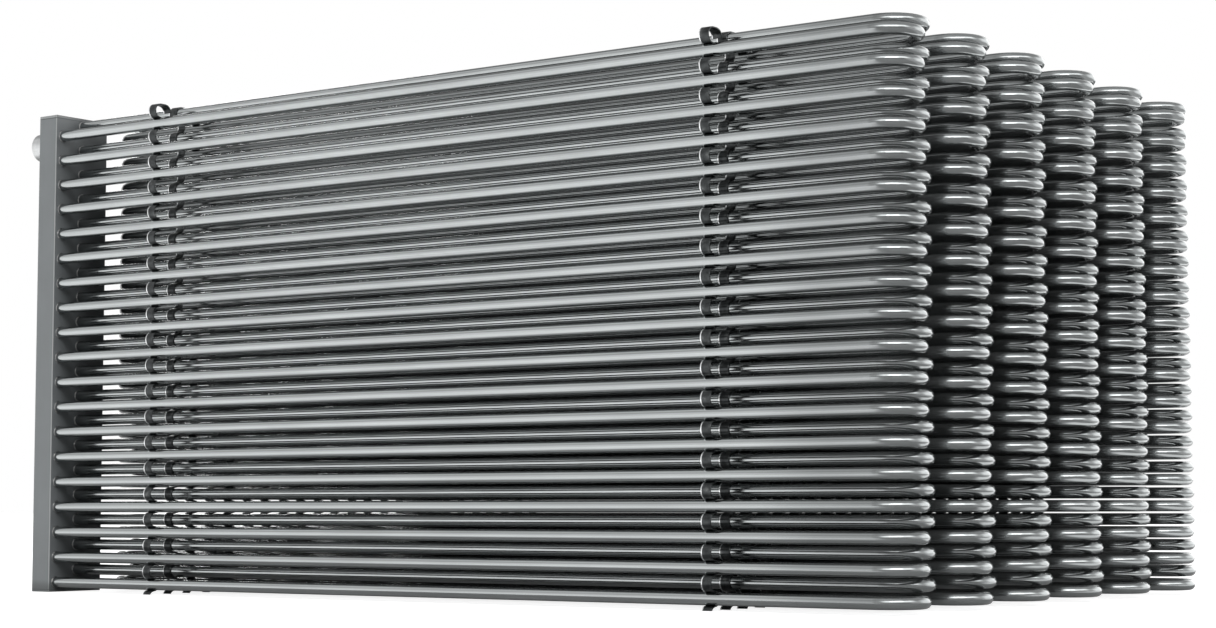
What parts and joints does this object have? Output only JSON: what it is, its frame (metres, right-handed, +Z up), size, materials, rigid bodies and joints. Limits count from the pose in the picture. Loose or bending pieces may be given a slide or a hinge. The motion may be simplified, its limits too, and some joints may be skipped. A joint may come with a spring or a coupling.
{
  "type": "heat exchanger coil",
  "caption": "Serpentine bare-tube heat exchanger coil: staggered layers of bent steel tube between two box headers, held apart by corrugated bars.",
  "frame": {"origin": "bottom centre of the coil's bounding box, on the surface that it stands on", "axes": "+X along the straight tubes, from the headers towards the far bends; +Y into the depth, from the inlet header to the outlet header; +Z up"},
  "size_m": [2.6132, 1.584, 1.2205],
  "materials": {
    "tube": "bright drawn",
    "header": "satin grey",
    "nozzle": "satin",
    "bar": "dull"
  },
  "bodies": {
    "root": {"circuit_a_01": "tube", "circuit_a_02": "tube", "circuit_a_03": "tube", "circuit_a_04": "tube", "circuit_a_05": "tube", "circuit_a_06": "tube", "circuit_a_07": "tube", "circuit_a_08": "tube", "circuit_a_09": "tube", "circuit_a_10": "tube", "circuit_a_11": "tube", "circuit_a_12": "tube", "circuit_a_13": "tube", "circuit_a_14": "tube", "circuit_a_15": "tube", "circuit_a_16": "tube", "circuit_a_17": "tube", "circuit_a_18": "tube", "circuit_a_19": "tube", "circuit_b_01": "tube", "circuit_b_02": "tube", "circuit_b_03": "tube", "circuit_b_04": "tube", "circuit_b_05": "tube", "circuit_b_06": "tube", "circuit_b_07": "tube", "circuit_b_08": "tube", "circuit_b_09": "tube", "circuit_b_10": "tube", "circuit_b_11": "tube", "circuit_b_12": "tube", "circuit_b_13": "tube", "circuit_b_14": "tube", "circuit_b_15": "tube", "circuit_b_16": "tube", "circuit_b_17": "tube", "circuit_b_18": "tube", "circuit_b_19": "tube", "inlet_channel": "header", "inlet_tube_sheet": "header", "inlet_top_cap": "header", "inlet_bottom_cap": "header", "inlet_nozzle": "nozzle", "outlet_channel": "header", "outlet_tube_sheet": "header", "outlet_top_cap": "header", "outlet_bottom_cap": "header", "outlet_nozzle": "nozzle", "near_spacers_01": "bar", "near_spacers_02": "bar", "near_spacers_03": "bar", "near_spacers_04": "bar", "near_spacers_05": "bar", "near_spacers_06": "bar", "far_spacers_01": "bar", "far_spacers_02": "bar", "far_spacers_03": "bar", "far_spacers_04": "bar", "far_spacers_05": "bar", "far_spacers_06": "bar"}
  },
  "joints": []
}
